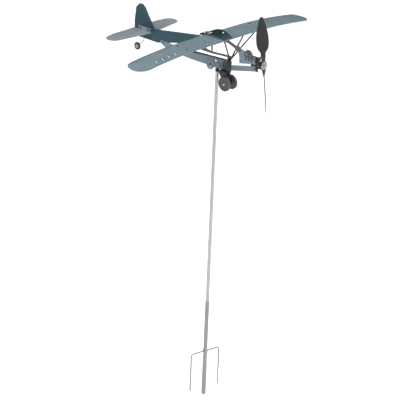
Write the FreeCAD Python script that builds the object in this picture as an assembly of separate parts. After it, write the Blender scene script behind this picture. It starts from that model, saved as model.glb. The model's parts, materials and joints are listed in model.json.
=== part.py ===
"""Aeroplane wind spinner on a push-in garden stake.

Millimetres, +Z up. The origin is on the stake's axis at ground level, under the bar of
the ground fork. The aeroplane's nose points along +X and its port wing along +Y.
Heights of the aeroplane's own pieces are measured from the top of the pole, and
`raised` lifts them onto it.
"""
import FreeCAD, Part
import math
import os

Vec = FreeCAD.Vector
X_AXIS = Vec(1, 0, 0)
Y_AXIS = Vec(0, 1, 0)
Z_AXIS = Vec(0, 0, 1)

# ---- stake -------------------------------------------------------------------------
pole_height = 548.0            # ground line to the top of the pole
pole_radius = 3.1
pole_wall = 1.0
joint_height = 212.0           # where the upper section plugs into the middle one
spear_top = 100.0              # where the middle section plugs onto the spear
spigot_length = 26.0
spigot_clearance = 0.05
spear_radius = 3.6
spear_point_radius = 4.0       # the swollen end that goes into the soil
spear_depth = 86.0             # ground line to the spear's tip
fork_wire_radius = 1.3
fork_span = 64.6               # prong centre to prong centre
fork_depth = 74.0              # ground line to the prong tips
fork_bend_radius = 5.0
fork_turn = -8.6               # degrees the fork is turned from the wings at rest
fork_hole_clearance = 0.08
bead_height = 6.0              # the two rolled beads at the upper joint

# ---- pivot on top of the pole --------------------------------------------------------
bush_radius = 3.7
bush_height = 6.0
bush_stem = 10.0
pin_radius = 1.5
running_clearance = 0.05       # radial, for everything that turns on a pin
end_gap = 0.35                 # between faces that turn against each other
sleeve_radius = 4.0
sleeve_length = 11.0
pivot_nut_height = 2.4
pivot_nut_flats = 5.0
pin_stick_out = 0.6

# ---- sheet metal -----------------------------------------------------------------------
sheet = 1.2
hole_clearance = 0.1
rivet_radius = 1.2
rivet_head_radius = 2.2
rivet_head_height = 0.9
screw_radius = 1.5
screw_head_radius = 2.8
screw_head_height = 1.8
nut_height = 2.4
nut_flats = 5.5

# ---- fuselage, along X from the pole, heights above the pole's top ------------------------
tail_end = -207.0
fin_height = 79.0
fin_top_length = 8.0
fin_foot = -156.0              # where the fin's leading edge meets the rear deck
deck_rear_height = 39.0
deck_front_height = 57.0
tail_front = -44.0
tail_bottom_height = 15.5
tail_belly_step = -148.0       # where the tail's lower edge starts to rise
tail_belly_height = 27.5
tail_belly_end = -100.0
belly_rear = -139.0
belly_rear_height = 18.5
belly_bottom = 6.7
belly_top = 25.2
belly_front = 34.5
junction_x = 29.9              # where the wing struts meet the fuselage
junction_z = 23.6
strut_plate_width = 8.0
strut_plate_bottom = -2.0
sill_height = 35.5
sill_depth = 3.6
post_width = 2.8
rear_post_x = -14.0
mid_post_top_x = 14.0
mid_post_foot_x = 25.0
windshield_top_x = 27.0
windshield_foot_x = 47.0
windshield_foot_height = 56.0
cowl_rear_top = 45.0
cowl_rear_height = 62.5
cowl_rear_bottom = 52.5
cowl_bottom_rear_height = 29.0
cowl_front = 90.4
cowl_front_top = 50.0
cowl_front_bottom = 36.8
nose_strip_rear = 20.0
nose_strip_rear_bottom = 7.2
nose_strip_front_bottom = 24.6
nose_strip_depth = 10.0
hub_height = 40.3
bracket_face = 96.0            # rear face of the nose bracket's front plate
bracket_width = 13.0
bracket_height = 22.0
bracket_ear = 17.0             # how far the ear reaches back beside the cowl

# ---- wing, roof and tailplane ------------------------------------------------------------
wing_seat = 65.4               # underside of the wing on the cabin's top rail
wing_half_span = 225.0
wing_leading = 25.6
wing_fold = -18.0
wing_trailing = -30.0
wing_fold_angle = 20.0
wing_flat_half = 60.0
wing_tip_drop = 12.0
wing_tip_length = 22.0         # the stretch over which the tip is rounded
notch_from_tip = 24.0
notch_depth = 2.4
slot_width = 2.2
slot_height = 11.0
slot_pitch = 8.0
slot_lean = 2.6
slot_row_x = 11.5
outer_slot_start = 104.0
outer_slot_count = 10
inner_slot_start = 38.0
inner_slot_count = 4
roof_rear = -31.0
roof_front = 22.5
roof_crown_x = -4.0
roof_crown_height = 75.8
roof_half_width = 10.8
roof_flange = 7.5
roof_screw_offset = 1.5
front_screw_x = 8.7
tab_length = 14.0
tab_reach = 7.0
tailplane_height = 29.4
tailplane_half_span = 88.0
tailplane_root_leading = -163.0
tailplane_tip_leading = -184.0
tailplane_trailing = -206.0
tailplane_tip_radius = 9.0
tailplane_tab_height = 8.0
tailplane_tab_front = -166.0
tailplane_tab_length = 30.0
tailplane_bolt_inset = 5.0

# ---- struts ------------------------------------------------------------------------------
strut_wire_radius = 1.25
strut_pad_radius = 3.4
strut_attach_y = 95.4
strut_attach_rear = -11.5
strut_attach_front = 10.3
strut_tongue = 7.0
knee_swell = 0.12              # the wire is a little fuller where it is bent

# ---- engine plate and pivot bracket --------------------------------------------------------
engine_x = 74.5
engine_z = 50.0
engine_radius = 10.0
engine_prong_width = 3.0
engine_prong_length = 6.5
engine_hole_radius = 1.7
engine_hole_offset = 5.6
engine_rivet_drop = 1.4
bracket_lobe_x = -15.5
bracket_lobe_z = 9.5
bracket_lobe_radius = 9.3
bracket_lobe_holes = 5.3
lobe_hole_radius = 1.5
bracket_bolt_x = 10.7
bracket_bolt_z = 13.4

# ---- landing gear ------------------------------------------------------------------------
gear_web_top = 6.4
gear_web_rear = 9.0
gear_web_front = 25.4
gear_half_width = 6.6
axle_x = 27.0
axle_z = -15.3
axle_radius = 1.5
wheel_radius = 13.5
wheel_width = 4.4
wheel_rim = 2.6
wheel_hub_radius = 4.2
wheel_web_sink = 0.9
cap_radius = 2.8
cap_height = 1.4
gear_leg_end = 4.2
tail_wheel_radius = 7.1
tail_hub_radius = 4.4
tail_wheel_width = 2.6
tail_axle_x = -198.4
tail_axle_z = -4.0
tail_wire_radius = 0.8
tail_wire_eye_x = -184.0
tail_wire_eye_z = 20.5
tail_wire_eye_radius = 2.9
tail_wire_eye_thickness = 2.0

# ---- propeller ---------------------------------------------------------------------------
propeller_radius = 94.5
propeller_pitch = 45.0
propeller_turn = 7.5           # degrees the blades lean to starboard at rest
blade_root_width = 9.0
blade_full_width = 22.5
blade_tip_width = 8.0
blade_twist_end = 25.0
blade_full_at = 0.48           # share of the radius where the blade is widest
hub_plate_radius = 7.0
shaft_radius = 1.95
shaft_head_radius = 3.4
shaft_head_height = 2.0
bearing_barrel_radius = 3.2
bearing_flange_radius = 5.0
bearing_barrel_length = 2.5
boss_length = 9.0
boss_rear_radius = 3.8
boss_front_radius = 6.0
ring_radius = 9.0
ring_height = 2.0
washer_radius = 7.6
washer_height = 1.0
hub_nut_flats = 7.0
hub_nut_height = 3.2
shaft_stick_out = 1.6

# Sheets stand side by side in layers across the fuselage. A layer's value is its
# starboard face; layer 0 is the middle one, and the numbers grow to port.
def layer(number):
    return (number - 0.5) * sheet


MIDDLE = 0
STARBOARD_1 = -1
STARBOARD_2 = -2
STARBOARD_3 = -3
PORT_1 = 1


# ---- small makers ----------------------------------------------------------------------
def box(x_low, x_high, y_low, y_high, z_low, z_high):
    """A box between two corners."""
    return Part.makeBox(x_high - x_low, y_high - y_low, z_high - z_low, Vec(x_low, y_low, z_low))


def rod(start, end, radius):
    """A straight round bar between two points."""
    run = end.sub(start)
    return Part.makeCylinder(radius, run.Length, start, run)


def upright_plate(corners, number, thickness=sheet):
    """A sheet that stands along the fuselage, from (x, z) corners, in the given layer."""
    points = [Vec(x, layer(number), z) for x, z in corners]
    outline = Part.makePolygon(points + [points[0]])
    return Part.Face(outline).extrude(Vec(0, thickness, 0))


def cross_hole(x, z, radius):
    """A cutter along Y, through every layer."""
    reach = 60.0
    return Part.makeCylinder(radius, 2 * reach, Vec(x, -reach, z), Y_AXIS)


def joined(shapes):
    """One solid from pieces that share faces or overlap."""
    whole = shapes[0].fuse(shapes[1:]) if len(shapes) > 1 else shapes[0]
    return whole.removeSplitter()


def hexagon(flats, height, base, axis):
    """A hexagonal nut blank that grows from base along axis."""
    corner = flats / math.sqrt(3.0)
    points = []
    for index in range(7):
        angle = math.radians(60.0 * index)
        points.append(Vec(corner * math.cos(angle), corner * math.sin(angle), 0))
    blank = Part.Face(Part.makePolygon(points)).extrude(Vec(0, 0, height))
    blank.Placement = FreeCAD.Placement(base, FreeCAD.Rotation(Z_AXIS, axis))
    return blank


def nut(flats, height, base, axis, thread_radius):
    """A hexagonal nut with its corners turned off and a hole for its screw."""
    blank = hexagon(flats, height, base, axis)
    turned = Part.makeCylinder(flats * 0.56, height, base, axis)
    hole = Part.makeCylinder(thread_radius, height, base, axis)
    return blank.common(turned).cut(hole)


def dome_head(base, axis, radius, height):
    """A low domed head: the cap of a sphere that stands on its base circle."""
    sphere_radius = (radius * radius + height * height) / (2.0 * height)
    centre = base.add(Vec(axis).multiply(height - sphere_radius))
    ball = Part.makeSphere(sphere_radius, centre)
    return ball.common(Part.makeCylinder(radius, height, base, axis))


def rivet(x, z, lowest_layer, highest_layer):
    """A rivet across the fuselage, through the layers from the lowest to the highest."""
    low = layer(lowest_layer)
    high = layer(highest_layer) + sheet
    shank = rod(Vec(x, low, z), Vec(x, high, z), rivet_radius)
    near = dome_head(Vec(x, low, z), Vec(0, -1, 0), rivet_head_radius, rivet_head_height)
    far = dome_head(Vec(x, high, z), Y_AXIS, rivet_head_radius, rivet_head_height)
    return joined([shank, near, far])


def cross_screw(x, z, lowest_layer, highest_layer, stick_out):
    """A pan-head screw across the fuselage, its head on the starboard side."""
    low = layer(lowest_layer)
    high = layer(highest_layer) + sheet + stick_out
    shank = rod(Vec(x, low, z), Vec(x, high, z), screw_radius)
    head = dome_head(Vec(x, low, z), Vec(0, -1, 0), screw_head_radius, screw_head_height)
    return joined([shank, head])


def rivet_hole(x, z):
    return cross_hole(x, z, rivet_radius + hole_clearance)


def screw_hole(x, z):
    return cross_hole(x, z, screw_radius + hole_clearance)


def raised(shape):
    """The aeroplane's pieces, lifted from the pole's top to their height above ground."""
    lifted = shape.copy()
    lifted.translate(Vec(0, 0, pole_height))
    return lifted


def group(shapes):
    return Part.makeCompound(shapes)


# ---- places that several pieces share ----------------------------------------------------
def line_height(x, x_one, z_one, x_two, z_two):
    """Height at x of the straight line through two points."""
    return z_one + (z_two - z_one) * (x - x_one) / (x_two - x_one)


def deck_height(x):
    return line_height(x, fin_foot, deck_rear_height, tail_front, deck_front_height)


def nose_strip_bottom(x):
    return line_height(x, nose_strip_rear, nose_strip_rear_bottom, bracket_face,
                       nose_strip_front_bottom)


rail_depth = 5.0
cabin_overlap = 12.0           # how far the cabin frame laps over the tail sheet
cabin_rear = tail_front - cabin_overlap
tail_lap_x = tail_front - cabin_overlap / 2.0
tail_lap_high = deck_height(tail_lap_x) - 5.0
tail_lap_low = tail_lap_high - 12.0
belly_lap_x = belly_rear + 7.0
belly_lap_z = belly_rear_height + 1.5
nose_lap_x = junction_x
nose_lap_z = nose_strip_bottom(nose_lap_x) + nose_strip_depth / 2.0
cowl_lap_x = windshield_foot_x + 3.0
cowl_lap_z = windshield_foot_height - 0.5
bracket_rivet_x = cowl_front - 3.0
bracket_top = hub_height + bracket_height / 2.0
bracket_rivet_high = line_height(bracket_rivet_x, cowl_rear_top, cowl_rear_height, cowl_front,
                                 cowl_front_top) - 5.0
bracket_rivet_low = nose_strip_bottom(bracket_rivet_x) + nose_strip_depth / 2.0
sill_rivet_z = sill_height
gear_tab_x = (gear_web_rear + gear_web_front) / 2.0 + 2.4
gear_tab_z = bracket_bolt_z + 6.5
engine_rivet_z = engine_z - engine_rivet_drop
wing_top = wing_seat + sheet
wing_trailing_drop = (wing_fold - wing_trailing) * math.tan(math.radians(wing_fold_angle))
roof_seat = wing_top - wing_trailing_drop + 0.4
rear_screw_x = roof_rear - roof_flange / 2.0 - 0.4
droop_run = wing_half_span - wing_flat_half
droop_radius = (droop_run ** 2 + wing_tip_drop ** 2) / (2.0 * wing_tip_drop)
sleeve_bottom = bush_height + end_gap
sleeve_top = sleeve_bottom + sleeve_length
pivot_nut_bottom = sleeve_top + end_gap
pivot_nut_top = pivot_nut_bottom + pivot_nut_height


def wing_droop(y):
    """How far the wing has dropped at the distance y from the middle."""
    run = max(0.0, abs(y) - wing_flat_half)
    return droop_radius - math.sqrt(droop_radius ** 2 - run ** 2)


# ---- stake -----------------------------------------------------------------------------
def stake_spear():
    """Solid lower end: spigot, shank, swollen soil end with a rounded tip, fork hole."""
    spigot_radius = pole_radius - pole_wall - spigot_clearance
    swell_start = -16.0
    swell_length = 14.0
    swell_end = swell_start - swell_length
    spigot = Part.makeCylinder(spigot_radius, spigot_length, Vec(0, 0, spear_top))
    shank = Part.makeCylinder(spear_radius, spear_top - swell_start, Vec(0, 0, swell_start))
    swell = Part.makeCone(spear_point_radius, spear_radius, swell_length, Vec(0, 0, swell_end))
    point = Part.makeCylinder(spear_point_radius, spear_depth + swell_end, Vec(0, 0, -spear_depth))
    tip_edges = [edge for edge in point.Edges if edge.BoundBox.ZMax < 1.0 - spear_depth]
    point = point.makeFillet(spear_point_radius * 0.9, tip_edges)
    body = joined([spigot, shank, swell, point])
    eye_half = 5.2
    eye_corners = [Vec(eye_half, 0, 0), Vec(0, 0, eye_half * 1.5), Vec(-eye_half, 0, 0),
                   Vec(0, 0, -eye_half * 1.5), Vec(eye_half, 0, 0)]
    eye_depth = spear_radius * 1.3
    eye = Part.Face(Part.makePolygon(eye_corners)).extrude(Vec(0, eye_depth, 0))
    eye.translate(Vec(0, -eye_depth / 2.0, fork_wire_radius))
    hole = Part.makeCylinder(fork_wire_radius + fork_hole_clearance, 20, Vec(0, -10, fork_wire_radius),
                             Y_AXIS)
    spear = joined([body, eye]).cut(hole)
    spear.rotate(Vec(0, 0, 0), Z_AXIS, fork_turn)
    return spear


def ground_fork():
    """One wire through the spear, bent down into a prong at each end."""
    half = fork_span / 2.0
    bar_z = fork_wire_radius
    bend = fork_bend_radius
    knee = bend * (1.0 - math.sqrt(0.5))
    path = Part.Wire([
        Part.makeLine(Vec(0, -half, 4.0 - fork_depth), Vec(0, -half, bar_z - bend)),
        Part.Arc(Vec(0, -half, bar_z - bend), Vec(0, knee - half, bar_z - knee),
                 Vec(0, bend - half, bar_z)).toShape(),
        Part.makeLine(Vec(0, bend - half, bar_z), Vec(0, half - bend, bar_z)),
        Part.Arc(Vec(0, half - bend, bar_z), Vec(0, half - knee, bar_z - knee),
                 Vec(0, half, bar_z - bend)).toShape(),
        Part.makeLine(Vec(0, half, bar_z - bend), Vec(0, half, 4.0 - fork_depth)),
    ])
    start = Vec(0, -half, 4.0 - fork_depth)
    section = Part.Wire(Part.makeCircle(fork_wire_radius, start, Z_AXIS))
    wire = path.makePipeShell([section], True, True)
    points = [wire]
    for side in (-half, half):
        points.append(Part.makeCone(0.4, fork_wire_radius, 4.0, Vec(0, side, -fork_depth), Z_AXIS))
    fork = joined(points)
    fork.rotate(Vec(0, 0, 0), Z_AXIS, fork_turn)
    return fork


def tube(bottom, top):
    outer = Part.makeCylinder(pole_radius, top - bottom, Vec(0, 0, bottom))
    inner = Part.makeCylinder(pole_radius - pole_wall, top - bottom, Vec(0, 0, bottom))
    return outer.cut(inner)


def stake_middle():
    """Tube with a reduced end that plugs into the upper section."""
    body = tube(spear_top, joint_height)
    plug_radius = pole_radius - pole_wall - spigot_clearance
    plug_bottom = joint_height - 8.0
    plug = Part.makeCylinder(plug_radius, spigot_length + 8.0, Vec(0, 0, plug_bottom))
    collar = Part.makeCylinder(pole_radius, 8.0, Vec(0, 0, plug_bottom))
    bore = Part.makeCylinder(plug_radius - 0.8, spigot_length + 8.0, Vec(0, 0, plug_bottom))
    return joined([body, collar, plug]).cut(bore)


def stake_upper():
    """Upper tube, with two rolled beads just above its joint."""
    body = tube(joint_height, pole_height)
    beads = []
    for height in (joint_height + 1.2, joint_height + bead_height):
        beads.append(Part.makeTorus(pole_radius - 0.25, 0.7, Vec(0, 0, height), Z_AXIS))
    bore = Part.makeCylinder(pole_radius - pole_wall, pole_height - joint_height,
                             Vec(0, 0, joint_height))
    return joined([body] + beads).cut(bore)


def pole_bush():
    """Moulded bush: a collar on the tube's end and a stem inside it."""
    stem_radius = pole_radius - pole_wall - spigot_clearance
    stem = Part.makeCylinder(stem_radius, bush_stem, Vec(0, 0, -bush_stem))
    collar = Part.makeCylinder(bush_radius, bush_height, Vec(0, 0, 0))
    collar = collar.makeChamfer(0.6, [edge for edge in collar.Edges if edge.Length > 20.0][:1])
    bore = Part.makeCylinder(pin_radius + 0.02, bush_stem + bush_height, Vec(0, 0, -bush_stem))
    return joined([stem, collar]).cut(bore)


def pivot_pin():
    """Steel pin that the aeroplane turns on; its foot rests in the bush."""
    return Part.makeCylinder(pin_radius, bush_stem + pivot_nut_top + pin_stick_out,
                             Vec(0, 0, -bush_stem))


def pivot_nut():
    return nut(pivot_nut_flats, pivot_nut_height, Vec(0, 0, pivot_nut_bottom), Z_AXIS,
               pin_radius + 0.02)


# ---- fuselage --------------------------------------------------------------------------
def tail_plate():
    """Rear fuselage and fin, one flat sheet."""
    corners = [
        (tail_end + 1.5, tail_bottom_height),
        (tail_belly_step, tail_bottom_height),
        (tail_belly_end, tail_belly_height),
        (tail_front, tail_belly_height + 2.0),
        (tail_front, deck_height(tail_front)),
        (fin_foot, deck_rear_height),
        (fin_foot - 16.0, deck_rear_height + 21.0),
        (fin_foot - 25.0, fin_height - 5.0),
        (fin_foot - 31.5, fin_height),
        (fin_foot - 31.5 - fin_top_length, fin_height),
        (tail_end + 3.0, fin_height - 8.0),
        (tail_end, fin_height * 0.55),
    ]
    plate = upright_plate(corners, MIDDLE)
    for x, z in ((belly_lap_x, belly_lap_z), (tail_lap_x, tail_lap_high),
                 (tail_lap_x, tail_lap_low), (tail_wire_eye_x, tail_wire_eye_z)):
        plate = plate.cut(rivet_hole(x, z))
    for x in tailplane_bolt_places():
        plate = plate.cut(screw_hole(x, tailplane_bolt_height()))
    return plate


def cabin_frame():
    """Side frame of the cabin: top rail, sill and posts round open windows."""
    rail_bottom = wing_seat - rail_depth
    sill_front = junction_x + strut_plate_width / 2.0
    outline = [
        (cabin_rear, tail_lower_edge_front() + 1.0),
        (rear_post_x, sill_height - sill_depth / 2.0 - 3.0),
        (mid_post_foot_x, sill_height - sill_depth / 2.0),
        (sill_front, sill_height - sill_depth / 2.0),
        (sill_front, sill_height + sill_depth / 2.0),
        (mid_post_foot_x + post_width, sill_height + sill_depth / 2.0),
        (mid_post_top_x + post_width, rail_bottom),
        (windshield_top_x - 3.0, rail_bottom),
        (windshield_foot_x - 7.0, windshield_foot_height - 1.0),
        (windshield_foot_x, windshield_foot_height - 5.5),
        (windshield_foot_x + 7.0, windshield_foot_height - 4.0),
        (windshield_foot_x + 5.0, windshield_foot_height + 2.5),
        (windshield_foot_x - 4.0, windshield_foot_height + 4.5),
        (windshield_top_x, wing_seat),
        (wing_trailing, wing_seat - wing_trailing_drop - 0.8),
        (wing_trailing - 0.6, deck_height(tail_front)),
        (cabin_rear, deck_height(cabin_rear)),
    ]
    frame = upright_plate(outline, STARBOARD_1)
    rear_window = [
        (wing_trailing + 2.0, tail_lower_edge_front() + 7.0),
        (rear_post_x - post_width / 2.0, sill_height + sill_depth / 2.0 - 3.0),
        (rear_post_x - post_width / 2.0, rail_bottom),
        (wing_trailing + 3.0, rail_bottom - 5.0),
    ]
    front_window = [
        (rear_post_x + post_width / 2.0, sill_height + sill_depth / 2.0 - 2.8),
        (mid_post_foot_x, sill_height + sill_depth / 2.0),
        (mid_post_top_x, rail_bottom),
        (rear_post_x + post_width / 2.0, rail_bottom),
    ]
    for window in (rear_window, front_window):
        frame = frame.cut(upright_plate(window, STARBOARD_2, 3 * sheet))
    frame = frame.cut(box(front_screw_x - nut_flats, front_screw_x + nut_flats, layer(STARBOARD_2),
                          layer(PORT_1), wing_seat - sheet - nut_height - 2.0, wing_seat - sheet))
    front_tab = box(front_screw_x - tab_length / 2.0, front_screw_x + tab_length / 2.0,
                    layer(STARBOARD_1), tab_reach, wing_seat - sheet, wing_seat)
    frame = joined([frame, front_tab])
    frame = frame.cut(Part.makeCylinder(screw_radius + hole_clearance, 10.0,
                                        Vec(front_screw_x, roof_screw_offset, wing_seat - 5.0)))
    for x, z in ((tail_lap_x, tail_lap_high), (tail_lap_x, tail_lap_low),
                 (cowl_lap_x, cowl_lap_z), (junction_x, sill_rivet_z), roof_tab_rivet()):
        frame = frame.cut(rivet_hole(x, z))
    return frame


def tail_lower_edge_front():
    """Height of the tail sheet's lower edge where the cabin frame laps it."""
    return tail_belly_height + 2.0


def roof_tab():
    """Angle bracket on the tail sheet that carries the roof's rear flange."""
    front = roof_rear - 0.6
    rear = front - roof_flange
    foot_bottom = tail_lap_high - 4.5
    shelf = box(rear, front, layer(MIDDLE), tab_reach, roof_seat - sheet, roof_seat)
    leg = box(rear, front, layer(MIDDLE), layer(PORT_1), foot_bottom, roof_seat)
    arm = box(tail_front + 0.5, front, layer(MIDDLE), layer(PORT_1), foot_bottom, foot_bottom + 8.0)
    bracket = joined([shelf, leg, arm])
    notch = box(rear_screw_x - nut_flats / 2 - 0.3, rear_screw_x + nut_flats / 2 + 0.3,
                layer(MIDDLE), layer(PORT_1), roof_seat - sheet - nut_height - 1.5,
                roof_seat - sheet)
    hole = Part.makeCylinder(screw_radius + hole_clearance, 10.0,
                             Vec(rear_screw_x, roof_screw_offset, roof_seat - 5.0))
    return bracket.cut(notch).cut(hole).cut(rivet_hole(*roof_tab_rivet()))


def roof_tab_rivet():
    return (roof_rear - 0.6 - roof_flange / 2.0, tail_lap_high - 0.5)


def belly_strip():
    """Long flat strip under the cabin, with a window round the pivot."""
    corners = [
        (belly_rear, belly_rear_height + 4.5),
        (belly_rear - 2.0, belly_rear_height),
        (-123.0, 9.7),
        (-66.0, belly_bottom),
        (belly_front, belly_bottom),
        (belly_front, belly_top + 2.5),
        (junction_x - 6.0, belly_top + 1.5),
        (-37.0, belly_top - 1.0),
        (-100.0, 21.0),
        (belly_rear + 13.0, belly_rear_height + 4.5),
    ]
    strip = upright_plate(corners, STARBOARD_1)
    window_half = sleeve_radius + 1.0
    window = box(-window_half, window_half, -5, 5, belly_bottom - 1.0, pivot_nut_top + 1.2)
    strip = strip.cut(window)
    strip = strip.cut(screw_hole(bracket_bolt_x, bracket_bolt_z))
    strip = strip.cut(screw_hole(bracket_lobe_x, bracket_lobe_z))
    for x, z in lobe_hole_places():
        strip = strip.cut(cross_hole(x, z, lobe_hole_radius))
    for x, z in ((belly_lap_x, belly_lap_z), (nose_lap_x, nose_lap_z), (gear_tab_x, gear_tab_z)):
        strip = strip.cut(rivet_hole(x, z))
    return strip.cut(screw_hole(junction_x, junction_z))


def cowl_plate():
    """Flat side of the engine cowl."""
    corners = [
        (cowl_rear_bottom, cowl_bottom_rear_height),
        (cowl_front, cowl_front_bottom),
        (cowl_front, cowl_front_top),
        (windshield_foot_x + 13.0, cowl_front_top + 5.5),
        (cowl_rear_top + 9.0, cowl_rear_height - 4.0),
        (cowl_rear_top, cowl_rear_height),
        (cowl_rear_bottom - 0.5, cowl_bottom_rear_height + 11.0),
    ]
    plate = upright_plate(corners, MIDDLE)
    for x, z in ((cowl_lap_x, cowl_lap_z), (bracket_rivet_x, bracket_rivet_high),
                 (engine_x, engine_rivet_z)):
        plate = plate.cut(rivet_hole(x, z))
    for side in (-1, 1):
        plate = plate.cut(cross_hole(engine_x + side * engine_hole_offset, engine_z,
                                     engine_hole_radius))
    return plate


def nose_strip():
    """Lower nose member, from the belly strip up to the nose bracket."""
    rear_bottom = nose_strip_bottom(nose_strip_rear)
    front = cowl_front + 2.0
    front_bottom = nose_strip_bottom(front)
    corners = [
        (nose_strip_rear, rear_bottom),
        (front, front_bottom),
        (front, front_bottom + nose_strip_depth),
        (nose_strip_rear, rear_bottom + nose_strip_depth),
    ]
    strip = upright_plate(corners, MIDDLE)
    for x, z in ((nose_lap_x, nose_lap_z), (bracket_rivet_x, bracket_rivet_low)):
        strip = strip.cut(rivet_hole(x, z))
    return strip


def strut_plate():
    """Dark upright sheet that ties sill, belly and wing struts together."""
    rear = junction_x - strut_plate_width / 2.0
    front = junction_x + strut_plate_width / 2.0
    plate = box(rear, front, layer(STARBOARD_2), layer(STARBOARD_1), strut_plate_bottom,
                sill_height + sill_depth / 2.0)
    plate = plate.cut(rivet_hole(junction_x, sill_rivet_z)).cut(rivet_hole(nose_lap_x, nose_lap_z))
    return plate.cut(screw_hole(junction_x, junction_z))


def nose_bracket():
    """Front plate across the nose with an ear folded back beside the cowl."""
    half = bracket_width / 2.0
    bottom = hub_height - bracket_height / 2.0
    plate = box(bracket_face, bracket_face + sheet, -half, half, bottom, bracket_top)
    ear_bottom = nose_strip_bottom(bracket_rivet_x) + 0.5
    ear = box(bracket_face - bracket_ear, bracket_face, layer(PORT_1), layer(PORT_1) + sheet,
              ear_bottom, bracket_top)
    gap = shaft_head_radius + 1.4
    relief = box(bracket_face - 6.0, bracket_face, layer(MIDDLE),
                 layer(PORT_1) + 2 * sheet, hub_height - gap, hub_height + gap)
    bracket = joined([plate, ear]).cut(relief)
    bore = Part.makeCylinder(bearing_barrel_radius + 0.02, 20.0,
                             Vec(bracket_face - 10.0, 0, hub_height), X_AXIS)
    bracket = bracket.cut(bore)
    for z in (bracket_rivet_high, bracket_rivet_low):
        bracket = bracket.cut(rivet_hole(bracket_rivet_x, z))
    return bracket


def nose_bearing():
    """Flanged bearing in the nose bracket."""
    rear = bracket_face - bearing_barrel_length
    barrel = Part.makeCylinder(bearing_barrel_radius, bearing_barrel_length + sheet,
                               Vec(rear, 0, hub_height), X_AXIS)
    flange = Part.makeCylinder(bearing_flange_radius, sheet,
                               Vec(bracket_face + sheet, 0, hub_height), X_AXIS)
    bore = Part.makeCylinder(shaft_radius + running_clearance, 20.0,
                             Vec(bracket_face - 10.0, 0, hub_height), X_AXIS)
    return joined([barrel, flange]).cut(bore)


def engine_plate():
    """Round-topped engine plate with two through holes and three prongs."""
    disc = Part.makeCylinder(engine_radius, sheet, Vec(engine_x, layer(STARBOARD_1), engine_z), Y_AXIS)
    lower = engine_z - 4.0
    dome = disc.common(box(engine_x - 20, engine_x + 20, -9, 9, lower, engine_z + 20))
    prongs = []
    spread = engine_radius - engine_prong_width
    for side in (-1, 0, 1):
        middle = engine_x + side * spread * 0.96
        prongs.append(upright_plate([
            (middle - engine_prong_width / 2.0, lower),
            (middle - engine_prong_width / 4.0, lower - engine_prong_length),
            (middle + engine_prong_width / 4.0, lower - engine_prong_length),
            (middle + engine_prong_width / 2.0, lower),
        ], STARBOARD_1))
    plate = joined([dome] + prongs)
    for side in (-1, 1):
        plate = plate.cut(cross_hole(engine_x + side * engine_hole_offset, engine_z,
                                     engine_hole_radius))
    return plate.cut(rivet_hole(engine_x, engine_rivet_z))


# ---- pivot bracket ----------------------------------------------------------------------
def lobe_hole_places():
    places = []
    for degrees in (150.0, 30.0, 270.0):
        angle = math.radians(degrees)
        places.append((bracket_lobe_x + bracket_lobe_holes * math.cos(angle),
                       bracket_lobe_z + bracket_lobe_holes * math.sin(angle)))
    return places


def pivot_bracket():
    """Sleeve on the pivot pin, with a front ear and a round rear lobe on the belly strip."""
    sleeve = Part.makeCylinder(sleeve_radius, sleeve_length, Vec(0, 0, sleeve_bottom))
    ear_bottom = bracket_bolt_z - 4.0
    ear_top = min(sleeve_top, bracket_bolt_z + 4.0)
    ear = box(bracket_lobe_x, bracket_bolt_x + 4.5, layer(STARBOARD_2), layer(STARBOARD_1),
              ear_bottom, ear_top)
    lobe = Part.makeCylinder(bracket_lobe_radius, sheet,
                             Vec(bracket_lobe_x, layer(STARBOARD_2), bracket_lobe_z), Y_AXIS)
    bracket = joined([sleeve, ear, lobe])
    bore = Part.makeCylinder(pin_radius + running_clearance, 60.0, Vec(0, 0, -20.0))
    bracket = bracket.cut(bore)
    bracket = bracket.cut(screw_hole(bracket_bolt_x, bracket_bolt_z))
    bracket = bracket.cut(screw_hole(bracket_lobe_x, bracket_lobe_z))
    for x, z in lobe_hole_places():
        bracket = bracket.cut(cross_hole(x, z, lobe_hole_radius))
    return bracket


# ---- wing, roof and tailplane ---------------------------------------------------------------
def wing_section():
    """The wing seen from the front: flat in the middle, drooping in an arc to each tip."""
    reach = wing_half_span + 3.0
    lower_edges = []
    upper_edges = []
    for lift, edges in ((0.0, lower_edges), (sheet, upper_edges)):
        middle_run = (wing_flat_half + reach) / 2.0
        for side in (-1, 1):
            start = Vec(wing_fold, side * wing_flat_half, wing_seat + lift)
            middle = Vec(wing_fold, side * middle_run, wing_seat + lift - wing_droop(middle_run))
            end = Vec(wing_fold, side * reach, wing_seat + lift - wing_droop(reach))
            edges.append(Part.Arc(start, middle, end).toShape())
        edges.append(Part.makeLine(Vec(wing_fold, -wing_flat_half, wing_seat + lift),
                                   Vec(wing_fold, wing_flat_half, wing_seat + lift)))
    ends = []
    for side in (-1, 1):
        low = Vec(wing_fold, side * reach, wing_seat - wing_droop(reach))
        ends.append(Part.makeLine(low, low.add(Vec(0, 0, sheet))))
    return Part.Face(Part.Wire(Part.__sortEdges__(lower_edges + upper_edges + ends)))


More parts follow.
